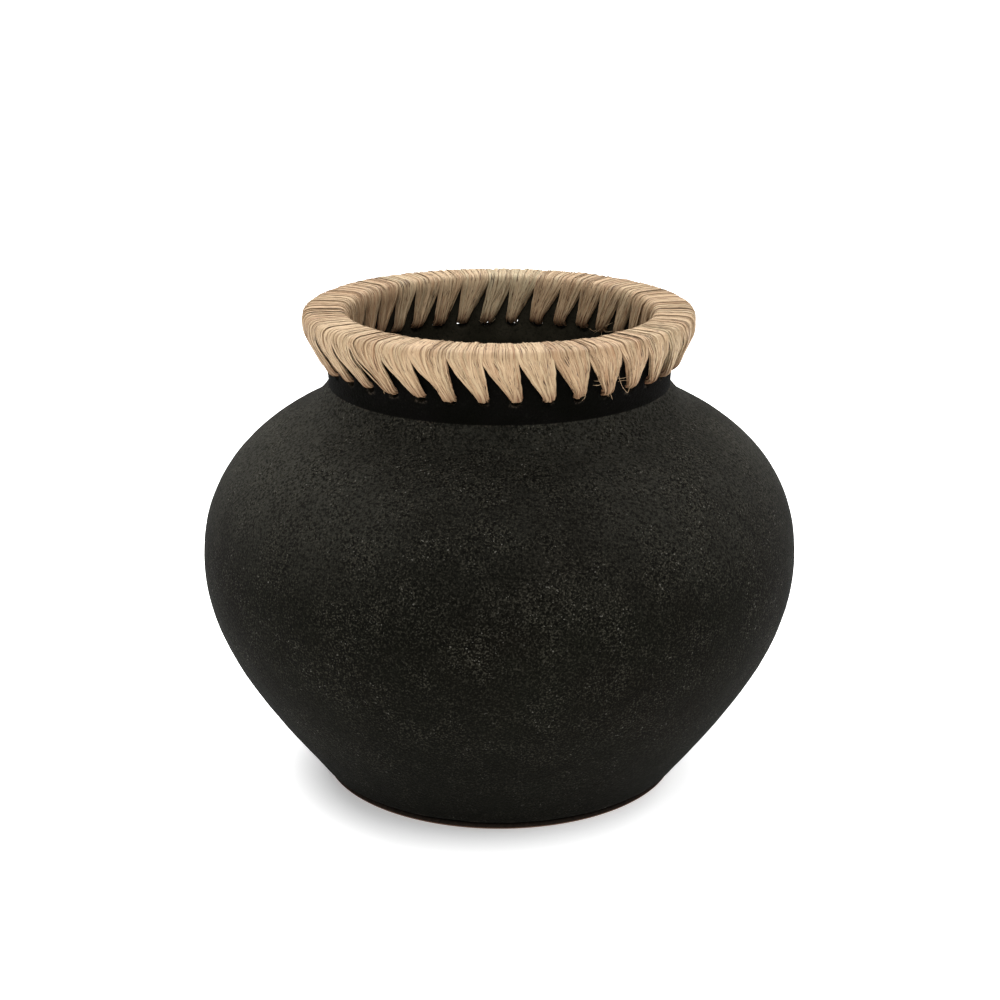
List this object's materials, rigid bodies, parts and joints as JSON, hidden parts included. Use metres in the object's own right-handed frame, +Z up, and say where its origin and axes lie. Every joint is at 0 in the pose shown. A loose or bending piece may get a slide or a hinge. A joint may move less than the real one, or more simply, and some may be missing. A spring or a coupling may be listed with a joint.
{
  "type": "clay vase",
  "caption": "Matte black clay vase with a wide belly, short neck and everted lip, its rim whip-stitched with raffia through a ring of holes round the neck.",
  "frame": {"origin": "centre of the flat base, on the surface that the vase stands on", "axes": "+Z up along the vase's axis of turning; +X and +Y lie in the base plane, and -Y faces the viewer"},
  "size_m": [0.28, 0.28, 0.2233],
  "materials": {
    "black_clay": "matte, sandy",
    "raffia": "dry plant fibre, soft satin"
  },
  "bodies": {
    "root": {"clay_pot": "black_clay", "raffia_lashing_01": "raffia", "raffia_lashing_02": "raffia", "raffia_lashing_03": "raffia", "raffia_lashing_04": "raffia", "raffia_lashing_05": "raffia", "raffia_lashing_06": "raffia", "raffia_lashing_07": "raffia", "raffia_lashing_08": "raffia", "raffia_lashing_09": "raffia", "raffia_lashing_10": "raffia", "raffia_lashing_11": "raffia", "raffia_lashing_12": "raffia", "raffia_lashing_13": "raffia", "raffia_lashing_14": "raffia", "raffia_lashing_15": "raffia", "raffia_lashing_16": "raffia", "raffia_lashing_17": "raffia", "raffia_lashing_18": "raffia", "raffia_lashing_19": "raffia", "raffia_lashing_20": "raffia", "raffia_lashing_21": "raffia", "raffia_lashing_22": "raffia", "raffia_lashing_23": "raffia", "raffia_lashing_24": "raffia", "raffia_lashing_25": "raffia", "raffia_lashing_26": "raffia", "raffia_lashing_27": "raffia", "raffia_lashing_28": "raffia", "raffia_lashing_29": "raffia", "raffia_lashing_30": "raffia", "raffia_lashing_31": "raffia", "raffia_lashing_32": "raffia", "raffia_lashing_33": "raffia", "raffia_lashing_34": "raffia", "raffia_lashing_35": "raffia", "raffia_lashing_36": "raffia"}
  },
  "joints": []
}
